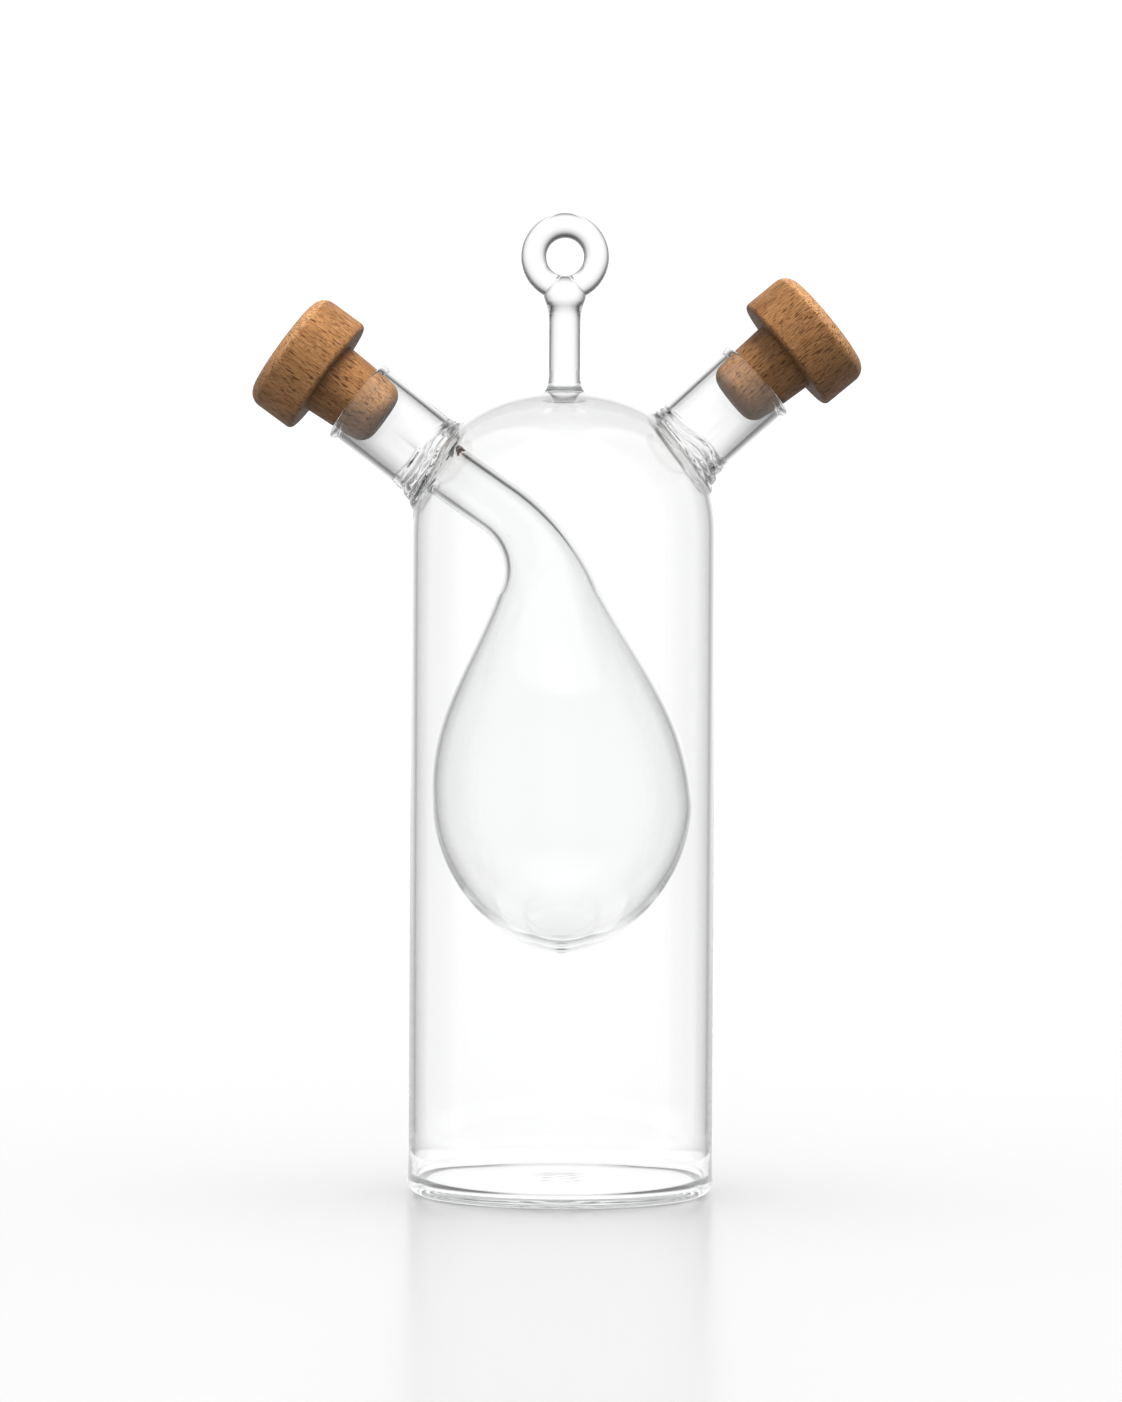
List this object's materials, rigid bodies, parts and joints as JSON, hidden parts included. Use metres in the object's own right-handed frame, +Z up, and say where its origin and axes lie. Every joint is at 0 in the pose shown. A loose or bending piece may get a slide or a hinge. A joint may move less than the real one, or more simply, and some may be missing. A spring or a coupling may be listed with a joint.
{
  "type": "oil and vinegar cruet",
  "caption": "Clear blown-glass cruet with a pear-shaped vessel held inside a domed bottle, slanted necks with wooden stoppers, and a hanging ring on top.",
  "frame": {"origin": "centre of the bottle's round foot, on the surface that it stands on", "axes": "+Z up along the bottle's axis, -X towards the neck of the inner vessel, +X towards the neck of the outer bottle"},
  "size_m": [0.1202, 0.0604, 0.1938],
  "materials": {
    "clear_glass": "clear, fire polished, faintly green in thick spots",
    "stopper_wood": "turned hardwood, waxed, open dark pores"
  },
  "bodies": {
    "cruet": {"outer_bottle": "clear_glass", "left_neck": "clear_glass", "right_neck": "clear_glass", "inner_vessel": "clear_glass", "hanging_ring": "clear_glass"},
    "left_stopper": {"left_stopper": "stopper_wood"},
    "right_stopper": {"right_stopper": "stopper_wood"}
  },
  "joints": [
    {"name": "left_stopper_pull", "type": "slide", "parent": "cruet", "child": "left_stopper", "axis": [-0.788, 0, 0.6157], "range_m": [0, 0.02]},
    {"name": "right_stopper_pull", "type": "slide", "parent": "cruet", "child": "right_stopper", "axis": [0.7349, 0, 0.6782], "range_m": [0, 0.02]}
  ]
}
